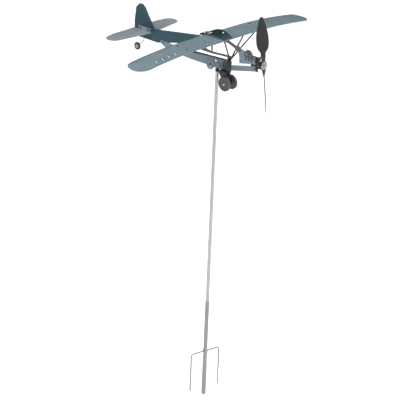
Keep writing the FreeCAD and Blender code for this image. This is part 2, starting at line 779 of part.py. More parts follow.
def wing_plan():
    """The wing seen from above: square roots, raked and rounded tips, two small notches."""
    inner = wing_half_span - wing_tip_length
    rows = []
    for side in (1, -1):
        leading = Vec(wing_leading, side * (inner + 2.0), 0)
        shoulder = Vec(wing_leading - 8.0, side * (wing_half_span - 5.0), 0)
        tip = Vec(wing_leading - 22.0, side * wing_half_span, 0)
        hip = Vec(wing_trailing + 16.0, side * (wing_half_span - 5.0), 0)
        trailing = Vec(wing_trailing, side * (inner - 4.0), 0)
        rows.append((leading, shoulder, tip, hip, trailing))
    port, starboard = rows
    edges = []
    for leading, shoulder, tip, hip, trailing in rows:
        edges.append(Part.Arc(leading, shoulder, tip).toShape())
        edges.append(Part.Arc(tip, hip, trailing).toShape())
    edges.append(Part.makeLine(port[0], starboard[0]))
    edges.append(Part.makeLine(port[4], starboard[4]))
    face = Part.Face(Part.Wire(Part.__sortEdges__(edges)))
    plan = face.extrude(Vec(0, 0, 60.0))
    plan.translate(Vec(0, 0, wing_seat - 30.0))
    return plan


def slot_cutter(y):
    """One slanted slot through the starboard wing."""
    half = slot_height / 2.0
    return Part.Face(Part.makePolygon([
        Vec(slot_row_x - half, y - slot_lean, 0),
        Vec(slot_row_x - half, y - slot_lean + slot_width, 0),
        Vec(slot_row_x + half, y + slot_lean + slot_width, 0),
        Vec(slot_row_x + half, y + slot_lean, 0),
        Vec(slot_row_x - half, y - slot_lean, 0),
    ])).extrude(Vec(0, 0, 60.0))


def wing_slots():
    """Two rows of slots that lean alternately, like the lattice of a light frame."""
    cutters = []
    for start, count in ((outer_slot_start, outer_slot_count), (inner_slot_start, inner_slot_count)):
        for index in range(count):
            cutter = slot_cutter(0.0)
            if index % 2:
                cutter = cutter.mirror(Vec(0, slot_width / 2.0, 0), Y_AXIS)
            cutter.translate(Vec(0, -(start + index * slot_pitch), wing_seat - 30.0))
            cutters.append(cutter)
    return cutters


def strut_rivet_places():
    places = []
    for side in (1, -1):
        for x in (strut_attach_rear, strut_attach_front):
            places.append((x, side * strut_attach_y))
    return places


def wing():
    """One sheet from tip to tip, with the trailing strip folded down."""
    section = wing_section()
    front = section.extrude(Vec(wing_leading - wing_fold, 0, 0))
    rear = section.extrude(Vec(wing_trailing - wing_fold, 0, -wing_trailing_drop))
    panel = joined([front, rear]).common(wing_plan())
    for cutter in wing_slots():
        panel = panel.cut(cutter)
    for side in (1, -1):
        y = side * (wing_half_span - notch_from_tip)
        corner = Vec(wing_trailing - 1.0, y, wing_seat - 30.0)
        notch = Part.makeCylinder(notch_depth + 1.0, 60.0, corner)
        panel = panel.cut(notch)
    for x, y in strut_rivet_places():
        panel = panel.cut(Part.makeCylinder(rivet_radius + hole_clearance, 60.0,
                                            Vec(x, y, wing_seat - 30.0)))
    hole = Part.makeCylinder(screw_radius + hole_clearance, 60.0,
                             Vec(front_screw_x, roof_screw_offset, wing_seat - 30.0))
    return panel.cut(hole)


def roof_arc():
    """Centre and radius of the roof's outer arc, through rear, crown and front."""
    rear = (roof_rear, roof_seat + sheet)
    crown = (roof_crown_x, roof_crown_height)
    front = (roof_front, wing_top + sheet)
    circle = Part.Arc(Vec(rear[0], 0, rear[1]), Vec(crown[0], 0, crown[1]),
                      Vec(front[0], 0, front[1]))
    curve = circle.toShape().Curve
    return curve.Center, curve.Radius


def roof_cover():
    """Arched sheet over the wing's middle, with a flat flange at the rear."""
    centre, radius = roof_arc()
    width = 2 * roof_half_width
    start = Vec(centre.x, -roof_half_width, centre.z)
    outer = Part.makeCylinder(radius, width, start, Y_AXIS)
    inner = Part.makeCylinder(radius - sheet, width, start, Y_AXIS)
    ring = outer.cut(inner)
    rear = ring.common(box(centre.x - radius, roof_crown_x, -20, 20, roof_seat, 200))
    front = ring.common(box(roof_crown_x, centre.x + radius, -20, 20, wing_top, 200))
    flange = box(roof_rear - roof_flange - 0.6, roof_rear + 0.5, -roof_half_width, roof_half_width,
                 roof_seat, roof_seat + sheet)
    cover = joined([rear, front, flange])
    for x in (rear_screw_x, front_screw_x):
        cover = cover.cut(Part.makeCylinder(screw_radius + hole_clearance, 60.0,
                                            Vec(x, roof_screw_offset, roof_seat - 20.0)))
    corner_radius = 4.0
    for side in (-1, 1):
        y = side * roof_half_width
        x = roof_rear - roof_flange - 0.6
        square = box(x, x + corner_radius, min(y, y - side * corner_radius),
                     max(y, y - side * corner_radius), roof_seat - 1, roof_seat + sheet + 1)
        round_off = Part.makeCylinder(corner_radius, 10.0,
                                      Vec(x + corner_radius, y - side * corner_radius, roof_seat - 2))
        cover = cover.cut(square.cut(round_off))
    return cover


def roof_height(x):
    """Height of the roof's outer face at x."""
    centre, radius = roof_arc()
    return centre.z + math.sqrt(radius ** 2 - (x - centre.x) ** 2)


def tailplane_bolt_places():
    front = tailplane_tab_front - tailplane_bolt_inset
    rear = tailplane_tab_front - tailplane_tab_length + tailplane_bolt_inset
    return (front, rear)


def tailplane_bolt_height():
    return tailplane_height + sheet + (tailplane_tab_height - sheet) / 2.0 + 0.4


def tailplane(side):
    """Half of the tailplane, with its root folded up against the tail sheet."""
    root = sheet / 2.0
    inner = tailplane_half_span - tailplane_tip_radius
    plan = [
        Part.makeLine(Vec(tailplane_root_leading, root, 0),
                      Vec(tailplane_tip_leading + 9.0, inner, 0)),
        Part.Arc(Vec(tailplane_tip_leading + 9.0, inner, 0),
                 Vec(tailplane_tip_leading - 2.0, tailplane_half_span, 0),
                 Vec(tailplane_trailing + 4.0, inner, 0)).toShape(),
        Part.makeLine(Vec(tailplane_trailing + 4.0, inner, 0),
                      Vec(tailplane_trailing, inner - 22.0, 0)),
        Part.makeLine(Vec(tailplane_trailing, inner - 22.0, 0), Vec(tailplane_trailing, root, 0)),
        Part.makeLine(Vec(tailplane_trailing, root, 0), Vec(tailplane_root_leading, root, 0)),
    ]
    panel = Part.Face(Part.Wire(plan)).extrude(Vec(0, 0, sheet))
    panel.translate(Vec(0, 0, tailplane_height))
    tab = box(tailplane_tab_front - tailplane_tab_length, tailplane_tab_front, root, root + sheet,
              tailplane_height, tailplane_height + tailplane_tab_height)
    half = joined([panel, tab])
    if side < 0:
        half = half.mirror(Vec(0, 0, 0), Y_AXIS)
    for x in tailplane_bolt_places():
        half = half.cut(screw_hole(x, tailplane_bolt_height()))
    return half


# ---- struts --------------------------------------------------------------------------------
def wing_strut(side):
    """V of bent wire: one lower eye on the fuselage and a pad under the wing at each leg."""
    eye_layer = PORT_1 - 1 if side > 0 else STARBOARD_3
    face = layer(eye_layer)
    eye = Part.makeCylinder(strut_pad_radius + 0.4, sheet, Vec(junction_x, face, junction_z), Y_AXIS)
    tongue = box(junction_x - 2.2, junction_x + 2.2, face, face + sheet, junction_z,
                 junction_z + strut_tongue)
    outer_face = face + sheet if side > 0 else face
    foot = Vec(junction_x, outer_face + side * 0.2, junction_z + strut_tongue - 1.2)
    pieces = [eye, tongue, Part.makeSphere(strut_wire_radius + knee_swell, foot)]
    for x in (strut_attach_rear, strut_attach_front):
        pad_top = wing_seat - wing_droop(strut_attach_y + strut_pad_radius) - 0.05
        pad = Part.makeCylinder(strut_pad_radius, sheet, Vec(x, side * strut_attach_y, pad_top - sheet))
        top = Vec(x, side * (strut_attach_y - strut_pad_radius + 0.6),
                  pad_top - strut_wire_radius - 0.35)
        pieces.append(pad)
        pieces.append(rod(foot, top, strut_wire_radius))
        pieces.append(Part.makeSphere(strut_wire_radius + knee_swell, top))
    strut = joined(pieces)
    strut = strut.cut(screw_hole(junction_x, junction_z))
    for x in (strut_attach_rear, strut_attach_front):
        strut = strut.cut(Part.makeCylinder(rivet_radius + hole_clearance, 40.0,
                                            Vec(x, side * strut_attach_y, wing_seat - 30.0)))
    return strut


# ---- landing gear ----------------------------------------------------------------------------
def gear_bracket():
    """Folded sheet: a web under the belly, two legs to the axle, a tab up to the belly."""
    web = box(gear_web_rear, gear_web_front, -gear_half_width, gear_half_width,
              gear_web_top - sheet, gear_web_top)
    corners = [
        (gear_web_rear, gear_web_top),
        (gear_web_rear, gear_web_top - 4.0),
        (axle_x - gear_leg_end * 0.9, axle_z - 2.0),
        (axle_x + gear_leg_end * 0.9, axle_z - 2.0),
        (axle_x + gear_leg_end, axle_z + 3.0),
        (gear_web_front, gear_web_top - 3.0),
        (gear_web_front, gear_web_top),
    ]
    pieces = [web]
    for low in (-gear_half_width, gear_half_width - sheet):
        leg = upright_plate(corners, MIDDLE)
        leg.translate(Vec(0, low - layer(MIDDLE), 0))
        boss = Part.makeCylinder(gear_leg_end, sheet, Vec(axle_x, low, axle_z), Y_AXIS)
        pieces.append(leg)
        pieces.append(boss)
    tab = box(gear_tab_x - 3.6, gear_tab_x + 3.6, layer(STARBOARD_2), layer(STARBOARD_1),
              gear_web_top - sheet, gear_tab_z + 3.4)
    pieces.append(tab)
    bracket = joined(pieces)
    bracket = bracket.cut(cross_hole(axle_x, axle_z, axle_radius + 0.02))
    return bracket.cut(rivet_hole(gear_tab_x, gear_tab_z))


def wheel_middle():
    """Distance of each wheel's middle plane from the fuselage's."""
    return gear_half_width + end_gap + wheel_width / 2.0


def wheel_axle():
    half = wheel_middle() + wheel_width / 2.0 + end_gap + cap_height * 0.6
    return Part.makeCylinder(axle_radius, 2 * half, Vec(axle_x, -half, axle_z), Y_AXIS)


def axle_caps():
    """Domed push-on caps that keep the main wheels on their axle."""
    caps = []
    for side in (-1, 1):
        face = side * (wheel_middle() + wheel_width / 2.0 + end_gap)
        cap = dome_head(Vec(axle_x, face, axle_z), Vec(0, side, 0), cap_radius, cap_height)
        caps.append(cap.cut(wheel_axle()))
    return group(caps)


def main_wheel(side):
    """Disc wheel with a thick rim and a hub, turned from one piece."""
    half = wheel_width / 2.0
    rim_inner = wheel_radius - wheel_rim
    sink = half - wheel_web_sink
    bore = axle_radius + running_clearance
    rim_round = 0.7
    outline = [
        Vec(bore, -half, 0), Vec(wheel_hub_radius, -half, 0), Vec(wheel_hub_radius + 0.6, -sink, 0),
        Vec(rim_inner - 0.6, -sink, 0), Vec(rim_inner, -half, 0),
        Vec(wheel_radius - rim_round, -half, 0), Vec(wheel_radius, rim_round - half, 0),
        Vec(wheel_radius, half - rim_round, 0), Vec(wheel_radius - rim_round, half, 0),
        Vec(rim_inner, half, 0), Vec(rim_inner - 0.6, sink, 0),
        Vec(wheel_hub_radius + 0.6, sink, 0), Vec(wheel_hub_radius, half, 0), Vec(bore, half, 0),
    ]
    face = Part.Face(Part.makePolygon(outline + [outline[0]]))
    wheel = face.revolve(Vec(0, 0, 0), Y_AXIS, 360)
    wheel.translate(Vec(axle_x, side * wheel_middle(), axle_z))
    return wheel


def tail_wheel_wire():
    """Wire leg from an eye on the tail sheet down to the tail wheel's axle."""
    side_y = sheet / 2.0 + tail_wire_eye_thickness / 2.0
    axle_y = tail_wheel_width / 2.0 + 1.1 + tail_wire_radius
    eye_low = Vec(tail_wire_eye_x, sheet / 2.0, tail_wire_eye_z)
    eye = Part.makeCylinder(tail_wire_eye_radius, tail_wire_eye_thickness, eye_low, Y_AXIS)
    route = [
        Vec(tail_wire_eye_x, side_y, tail_wire_eye_z - 2.2),
        Vec(tail_wire_eye_x - 0.5, side_y, tail_bottom_height - 6.0),
        Vec(tail_axle_x, axle_y, tail_axle_z),
        Vec(tail_axle_x, -tail_wheel_width / 2.0 - 1.6, tail_axle_z),
    ]
    pieces = [eye]
    for start, end in zip(route[:-1], route[1:]):
        pieces.append(rod(start, end, tail_wire_radius))
    for corner in route[1:-1]:
        pieces.append(Part.makeSphere(tail_wire_radius + knee_swell, corner))
    return joined(pieces).cut(rivet_hole(tail_wire_eye_x, tail_wire_eye_z))


def tail_axle_cap():
    face = -(tail_wheel_width / 2.0 + end_gap)
    base = Vec(tail_axle_x, face, tail_axle_z)
    cap = dome_head(base, Vec(0, -1, 0), 1.9, 1.6)
    shaft = Part.makeCylinder(tail_wire_radius, 4.0, base.add(Vec(0, 2.0, 0)), Vec(0, -1, 0))
    return cap.cut(shaft.common(box(-300, 300, face - 1.25, 10, -300, 300)))


def tail_tyre():
    ring = Part.makeCylinder(tail_wheel_radius, tail_wheel_width,
                             Vec(tail_axle_x, -tail_wheel_width / 2.0, tail_axle_z), Y_AXIS)
    inner = Part.makeCylinder(tail_hub_radius, tail_wheel_width,
                              Vec(tail_axle_x, -tail_wheel_width / 2.0, tail_axle_z), Y_AXIS)
    rims = [edge for edge in ring.Edges if edge.Length > 30.0 and len(edge.Vertexes) == 1]
    return ring.makeFillet(0.8, rims).cut(inner)


def tail_hub():
    low = Vec(tail_axle_x, -tail_wheel_width / 2.0, tail_axle_z)
    disc = Part.makeCylinder(tail_hub_radius, tail_wheel_width, low, Y_AXIS)
    bore = Part.makeCylinder(tail_wire_radius + running_clearance, tail_wheel_width, low, Y_AXIS)
    return disc.cut(bore)


# ---- propeller -------------------------------------------------------------------------------
boss_rear = bracket_face + 2 * sheet + end_gap
boss_front = boss_rear + boss_length
blade_rear = boss_front + ring_height
washer_rear = blade_rear + sheet
hub_nut_rear = washer_rear + washer_height


def blade_section(radius, width, degrees):
    """A thin rectangle across the blade at one radius, turned about the blade's length."""
    middle = Vec(blade_rear + sheet / 2.0, 0, hub_height + radius)
    half = width / 2.0
    angle = math.radians(degrees)
    chord = Vec(math.sin(angle), math.cos(angle), 0)
    normal = Vec(math.cos(angle), -math.sin(angle), 0)
    corners = []
    for along, across in ((-half, -1), (half, -1), (half, 1), (-half, 1)):
        offset = Vec(chord).multiply(along).add(Vec(normal).multiply(across * sheet / 2.0))
        corners.append(middle.add(offset))
    return Part.makePolygon(corners + [corners[0]])


def blade():
    """One blade: a twisted neck, widening to its fullest and closing to a rounded tip."""
    full_at = propeller_radius * blade_full_at
    neck = Part.makeLoft([
        blade_section(ring_radius + 0.6, blade_root_width, 0.0),
        blade_section((ring_radius + blade_twist_end) / 2.0, blade_root_width, propeller_pitch / 2.0),
        blade_section(blade_twist_end, blade_root_width, propeller_pitch),
    ], True, False)
    root_half = blade_root_width / 2.0
    flat = box(blade_rear, blade_rear + sheet, -root_half, root_half, hub_height + 2.0,
               hub_height + ring_radius + 0.6)
    turned = []
    half_root = blade_root_width / 2.0
    half_full = blade_full_width / 2.0
    half_tip = blade_tip_width / 2.0
    tip_start = propeller_radius - half_tip
    for side in (1, -1):
        spread = Part.BSplineCurve()
        spread.interpolate([
            Vec(0, side * half_root, blade_twist_end),
            Vec(0, side * half_full * 0.86, full_at * 0.75),
            Vec(0, side * half_full, full_at),
            Vec(0, side * half_full * 0.84, (full_at + tip_start) / 2.0),
            Vec(0, side * half_tip, tip_start),
        ])
        turned.append(spread.toShape())
    tip = Part.Arc(Vec(0, half_tip, tip_start), Vec(0, 0, propeller_radius),
                   Vec(0, -half_tip, tip_start)).toShape()
    root = Part.makeLine(Vec(0, half_root, blade_twist_end), Vec(0, -half_root, blade_twist_end))
    outline = Part.Wire(Part.__sortEdges__(turned + [tip, root]))
    vane = Part.Face(outline).extrude(Vec(sheet, 0, 0))
    vane.translate(Vec(-sheet / 2.0, 0, 0))
    vane.rotate(Vec(0, 0, 0), Z_AXIS, -propeller_pitch)
    vane.translate(Vec(blade_rear + sheet / 2.0, 0, hub_height))
    return joined([flat, neck, vane])


def propeller():
    """Two blades and the flat hub, one twisted sheet."""
    hub = Part.makeCylinder(hub_plate_radius, sheet, Vec(blade_rear, 0, hub_height), X_AXIS)
    upper = blade()
    lower = upper.copy()
    lower.rotate(Vec(0, 0, hub_height), X_AXIS, 180)
    sheet_blades = joined([hub, upper, lower])
    bore = Part.makeCylinder(shaft_radius, 20.0, Vec(blade_rear - 10.0, 0, hub_height), X_AXIS)
    sheet_blades = sheet_blades.cut(bore)
    sheet_blades.rotate(Vec(0, 0, hub_height), X_AXIS, propeller_turn)
    return sheet_blades


def hub_boss():
    """Moulded distance piece between the bearing and the blades."""
    cone = Part.makeCone(boss_rear_radius, boss_front_radius, boss_length,
                         Vec(boss_rear, 0, hub_height), X_AXIS)
    return cone.cut(hub_bore())


def hub_ring():
    """Dark ring behind the blades."""
    ring = Part.makeCylinder(ring_radius, ring_height, Vec(boss_front, 0, hub_height), X_AXIS)
    return ring.cut(hub_bore())


def hub_washer():
    disc = Part.makeCylinder(washer_radius, washer_height, Vec(washer_rear, 0, hub_height), X_AXIS)
    return disc.cut(hub_bore())


def hub_bore():
    return Part.makeCylinder(shaft_radius, 60.0, Vec(boss_rear - 10.0, 0, hub_height), X_AXIS)


def hub_nut():
    return nut(hub_nut_flats, hub_nut_height, Vec(hub_nut_rear, 0, hub_height), X_AXIS, shaft_radius)


def propeller_shaft():
    """Screw that turns in the nose bearing, its head behind the bracket."""
    head_front = bracket_face - bearing_barrel_length - end_gap
    head = Part.makeCylinder(shaft_head_radius, shaft_head_height,
                             Vec(head_front - shaft_head_height, 0, hub_height), X_AXIS)
    length = hub_nut_rear + hub_nut_height + shaft_stick_out - head_front
    shank = Part.makeCylinder(shaft_radius, length, Vec(head_front, 0, hub_height), X_AXIS)
    return joined([head, shank])


# ---- fasteners ---------------------------------------------------------------------------------
def lap_rivets():
    """Rivets across the fuselage, wherever two sheets lap."""
    return group([
        rivet(belly_lap_x, belly_lap_z, STARBOARD_1, MIDDLE),
        rivet(tail_lap_x, tail_lap_high, STARBOARD_1, MIDDLE),
        rivet(tail_lap_x, tail_lap_low, STARBOARD_1, MIDDLE),
        rivet(*roof_tab_rivet(), STARBOARD_1, MIDDLE),
        rivet(cowl_lap_x, cowl_lap_z, STARBOARD_1, MIDDLE),
        rivet(junction_x, sill_rivet_z, STARBOARD_2, STARBOARD_1),
        rivet(nose_lap_x, nose_lap_z, STARBOARD_2, MIDDLE),
        rivet(bracket_rivet_x, bracket_rivet_high, MIDDLE, PORT_1),
        rivet(bracket_rivet_x, bracket_rivet_low, MIDDLE, PORT_1),
        rivet(gear_tab_x, gear_tab_z, STARBOARD_2, STARBOARD_1),
        rivet(engine_x, engine_rivet_z, STARBOARD_1, MIDDLE),
    ])


def tail_wire_rivet():
    low = layer(MIDDLE)
    high = layer(MIDDLE) + sheet + tail_wire_eye_thickness
    x = tail_wire_eye_x
    z = tail_wire_eye_z
    shank = rod(Vec(x, low, z), Vec(x, high, z), rivet_radius)
    near = dome_head(Vec(x, low, z), Vec(0, -1, 0), rivet_head_radius, rivet_head_height)
    far = dome_head(Vec(x, high, z), Y_AXIS, rivet_head_radius, rivet_head_height)
    return joined([shank, near, far])


def strut_rivets():
    """Rivets through the wing into the struts' pads."""
    rivets = []
    for x, y in strut_rivet_places():
        top = wing_top - wing_droop(abs(y) - rivet_head_radius)
        bottom = wing_seat - wing_droop(strut_attach_y + strut_pad_radius) - 0.05 - sheet
        shank = rod(Vec(x, y, bottom), Vec(x, y, top), rivet_radius)
        head = dome_head(Vec(x, y, top), Z_AXIS, rivet_head_radius, rivet_head_height)
        rivets.append(joined([shank, head]))
    return group(rivets)


def roof_screws():
    """Pan-head screws that hold the roof, and at the front the wing too."""
    screws = []
    places = ((rear_screw_x, roof_seat + sheet, roof_seat - sheet),
              (front_screw_x, roof_height(front_screw_x - screw_head_radius), wing_seat - sheet))
    for x, under_head, tab_bottom in places:
        bottom = tab_bottom - nut_height - 0.6
        shank = rod(Vec(x, roof_screw_offset, bottom), Vec(x, roof_screw_offset, under_head),
                    screw_radius)
        head = dome_head(Vec(x, roof_screw_offset, under_head), Z_AXIS, screw_head_radius,
                         screw_head_height)
        screws.append(joined([shank, head]))
    return group(screws)


def roof_nuts():
    nuts = []
    for x, tab_bottom in ((rear_screw_x, roof_seat - sheet), (front_screw_x, wing_seat - sheet)):
        base = Vec(x, roof_screw_offset, tab_bottom - nut_height)
        nuts.append(nut(nut_flats, nut_height, base, Z_AXIS, screw_radius))
    return group(nuts)


def strut_bolt():
    return cross_screw(junction_x, junction_z, STARBOARD_3, MIDDLE, nut_height + 0.6)


def strut_nut():
    base = Vec(junction_x, layer(MIDDLE) + sheet, junction_z)
    return nut(nut_flats, nut_height, base, Y_AXIS, screw_radius)


def pivot_screws():
    """Screws that hold the pivot bracket on the belly strip."""
    return group([
        cross_screw(bracket_bolt_x, bracket_bolt_z, STARBOARD_2, STARBOARD_1, nut_height + 0.6),
        cross_screw(bracket_lobe_x, bracket_lobe_z, STARBOARD_2, STARBOARD_1, nut_height + 0.6),
    ])


def pivot_screw_nuts():
    nuts = []
    for x, z in ((bracket_bolt_x, bracket_bolt_z), (bracket_lobe_x, bracket_lobe_z)):
        base = Vec(x, layer(STARBOARD_1) + sheet, z)
        nuts.append(nut(nut_flats, nut_height, base, Y_AXIS, screw_radius))
    return group(nuts)


def tailplane_screws():
    return group([cross_screw(x, tailplane_bolt_height(), STARBOARD_1, PORT_1, nut_height + 0.6)
                  for x in tailplane_bolt_places()])


def tailplane_nuts():
    return group([nut(nut_flats, nut_height,
                      Vec(x, layer(PORT_1) + sheet, tailplane_bolt_height()), Y_AXIS, screw_radius)
                  for x in tailplane_bolt_places()])


# ---- write the parts -----------------------------------------------------------------------------
STAKE_PARTS = {
    "stake_spear": stake_spear,
    "stake_middle": stake_middle,
    "stake_upper": stake_upper,
    "ground_fork": ground_fork,
}

AEROPLANE_PARTS = {
    "pole_bush": pole_bush,
    "pivot_pin": pivot_pin,
    "pivot_nut": pivot_nut,
    "tail_plate": tail_plate,
    "cabin_frame": cabin_frame,
    "roof_tab": roof_tab,
    "belly_strip": belly_strip,
    "cowl_plate": cowl_plate,
    "nose_strip": nose_strip,
    "strut_plate": strut_plate,
    "nose_bracket": nose_bracket,
    "nose_bearing": nose_bearing,
    "engine_plate": engine_plate,
    "pivot_bracket": pivot_bracket,
    "wing": wing,
    "roof_cover": roof_cover,
    "tailplane_port": lambda: tailplane(1),
    "tailplane_starboard": lambda: tailplane(-1),
    "wing_strut_port": lambda: wing_strut(1),
    "wing_strut_starboard": lambda: wing_strut(-1),
    "gear_bracket": gear_bracket,
    "wheel_axle": wheel_axle,
    "axle_caps": axle_caps,
    "main_wheel_port": lambda: main_wheel(1),
    "main_wheel_starboard": lambda: main_wheel(-1),
    "tail_wheel_wire": tail_wheel_wire,
    "tail_axle_cap": tail_axle_cap,
    "tail_tyre": tail_tyre,
    "tail_hub": tail_hub,
    "propeller": propeller,
    "hub_boss": hub_boss,
    "hub_ring": hub_ring,
    "hub_washer": hub_washer,
    "hub_nut": hub_nut,
    "propeller_shaft": propeller_shaft,
    "lap_rivets": lap_rivets,
    "tail_wire_rivet": tail_wire_rivet,
    "strut_rivets": strut_rivets,
    "roof_screws": roof_screws,
    "roof_nuts": roof_nuts,
    "strut_bolt": strut_bolt,
    "strut_nut": strut_nut,
    "pivot_screws": pivot_screws,
    "pivot_screw_nuts": pivot_screw_nuts,
    "tailplane_screws": tailplane_screws,
    "tailplane_nuts": tailplane_nuts,
}

os.makedirs("parts", exist_ok=True)
for name, make in STAKE_PARTS.items():
    make().exportStep(os.path.join("parts", name + ".step"))
for name, make in AEROPLANE_PARTS.items():
    raised(make()).exportStep(os.path.join("parts", name + ".step"))
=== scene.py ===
"""Looks of the aeroplane wind spinner: finishes, light and camera. Metres."""
import json
import math

import bpy
from mathutils import Matrix, Vector


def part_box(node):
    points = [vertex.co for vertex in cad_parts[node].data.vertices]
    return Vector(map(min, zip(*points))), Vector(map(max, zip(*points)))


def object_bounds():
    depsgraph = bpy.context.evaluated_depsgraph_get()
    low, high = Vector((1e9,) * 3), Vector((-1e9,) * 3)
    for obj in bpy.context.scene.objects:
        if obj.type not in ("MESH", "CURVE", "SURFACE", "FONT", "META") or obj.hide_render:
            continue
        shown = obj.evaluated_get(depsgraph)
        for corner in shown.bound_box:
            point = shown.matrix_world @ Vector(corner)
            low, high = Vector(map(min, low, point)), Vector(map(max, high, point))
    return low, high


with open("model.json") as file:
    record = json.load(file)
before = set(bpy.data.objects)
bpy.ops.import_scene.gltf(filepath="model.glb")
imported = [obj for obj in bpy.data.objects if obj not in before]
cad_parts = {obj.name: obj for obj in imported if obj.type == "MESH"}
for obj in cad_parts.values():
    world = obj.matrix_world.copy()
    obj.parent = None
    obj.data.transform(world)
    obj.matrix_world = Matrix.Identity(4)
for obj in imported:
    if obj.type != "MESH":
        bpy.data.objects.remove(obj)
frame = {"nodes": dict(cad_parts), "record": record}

SIZE_AT_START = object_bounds()

# ---- view ------------------------------------------------------------------------------
VIEW_AZIMUTH = math.radians(42.0)
VIEW_ELEVATION = math.radians(21.0)
VIEW_ROLL = math.radians(2.4)
VIEW_DISTANCE = 8.0           # a long lens: the far parts hardly shrink
FRAME_WIDTH = 0.72            # width of the picture at the stake
POLE_TOP_RIGHT = 0.031        # the pole's top, right of the picture's middle
POLE_TOP_UP = 0.232           # and above it

# ---- light -------------------------------------------------------------------------------
WING_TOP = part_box("wing")[1][2]
FILL_AIM_HEIGHT = 0.3         # the fill light points at the stake, this far up
PANELS = [
    {"name": "key", "place": (-0.6, -1.9, WING_TOP + 1.5), "size": (1.4, 1.4), "power": 24.0,
     "target": (0, 0, WING_TOP)},
    {"name": "fill", "place": (1.9, 0.3, WING_TOP + 0.5), "size": (1.2, 1.6), "power": 10.0,
     "target": (0, 0, FILL_AIM_HEIGHT)},
    {"name": "top", "place": (0.0, 0.2, WING_TOP + 2.1), "size": (2.4, 2.4), "power": 22.0,
     "target": (0, 0, WING_TOP)},
]
STUDIO_DARK = (0.03, 0.03, 0.035, 1.0)
STUDIO_LIGHT = (1.0, 1.0, 1.0, 1.0)
STUDIO_DARK_UP_TO = -0.25     # of the direction's X: dark towards the tail
STUDIO_LIGHT_FROM = 0.15      # light towards the nose
STUDIO_STRENGTH = 0.75
WHITE = (1.0, 1.0, 1.0, 1.0)

# ---- floor -------------------------------------------------------------------------------
FLOOR_SIZE = 9.0
FLOOR_GAP = 0.004             # below the spear's tip
FLOOR_COLOUR = (0.93, 0.93, 0.93, 1.0)
FLOOR_ROUGHNESS = 0.9
FLOOR_GLOW = 0.62             # lifts the floor to white where the camera sees it

# ---- finishes: sRGB colour and roughness ---------------------------------------------------
PAINTS = {
    "teal_paint": ((36, 78, 90), 0.34),
    "teal_dark": ((22, 62, 70), 0.26),
    "slate_paint": ((128, 146, 160), 0.38),
    "frame_grey": ((96, 100, 108), 0.40),
    "wing_grey": ((140, 160, 170), 0.36),
    "tail_grey": ((166, 172, 180), 0.38),
    "black_paint": ((40, 40, 41), 0.36),
    "engine_grey": ((92, 88, 94), 0.42),
    "wheel_grey": ((104, 101, 106), 0.44),
}
METALS = {
    "chrome": ((214, 212, 208), 0.08),
    "satin_steel": ((186, 181, 182), 0.34),
    "rivet_steel": ((120, 126, 134), 0.30),
}
PLASTIC_COLOUR = (34, 34, 36)
EDGE_ROUND = 0.0003
BEVEL_SAMPLES = 4

CLOUD_SCALE, CLOUD_DETAIL = 26.0, 6.0
CLOUD_DARK, CLOUD_LIGHT = 0.93, 1.07
GRIME_SCALE, GRIME_DETAIL = 9.0, 8.0
GRIME_START, GRIME_END = 0.52, 0.72
GRIME_SHARE = 0.16
GRIME_SHADE = 0.62
SHEEN_SCALE = 60.0            # patches of duller and brighter paint
SHEEN_BELOW, SHEEN_ABOVE = 0.07, 0.12
PEEL_SCALE, PEEL_DETAIL = 900.0, 2.0
PEEL_DEPTH = 0.00004
PAINT_METALLIC = 0.15
COAT_WEIGHT, COAT_ROUGHNESS = 0.35, 0.14

RIB_PITCH = 0.011
WAVE_SCALE_TIMES_PITCH = 0.314
RIB_DISTORTION, RIB_DETAIL = 0.4, 1.0
RIB_START, RIB_END = 0.02, 0.30
# the next factor darkens the paint in the rib grooves: painted shade for the pressed ribs, beside
# their bump
RIB_GROOVE_PAINTED_SHADE = 0.82
RIB_DEPTH = 0.00018

EDGE_START, EDGE_END = 0.60, 0.80
CHIP_SCALE, CHIP_DETAIL = 240.0, 3.0
CHIP_START, CHIP_END = 0.52, 0.70
CHIP_SHARE = 0.45
CHIP_COLOUR = (176, 182, 188)
CHIP_SHADE = 0.8

DRAWN_MARKS = (900.0, 900.0, 14.0)      # long along the stake
EVEN_MARKS = (60.0, 60.0, 60.0)
MARK_DETAIL = 5.0
MARK_SMOOTH, MARK_ROUGH = 0.75, 1.5
DRAWN_DEPTH, EVEN_DEPTH = 0.00002, 0.000008
HAZE_SCALE, HAZE_DETAIL = 18.0, 6.0
HAZE_DARK, HAZE_LIGHT = 0.88, 1.05

TINT_SCALE = 40.0
TINT_DARK, TINT_LIGHT = 0.8, 1.3
GRAIN_SCALE, GRAIN_DETAIL = 1500.0, 2.0
GRAIN_SMOOTH, GRAIN_ROUGH = 0.42, 0.62
GRAIN_DEPTH = 0.00005


def linear(colour):
    """A linear RGBA colour from 8-bit sRGB."""
    values = []
    for channel in colour:
        share = channel / 255.0
        if share <= 0.04045:
            values.append(share / 12.92)
        else:
            values.append(((share + 0.055) / 1.055) ** 2.4)
    return (*values, 1.0)


def scaled(colour, factor):
    """The same colour, lighter or darker."""
    return (*[min(1.0, channel * factor) for channel in colour[:3]], 1.0)


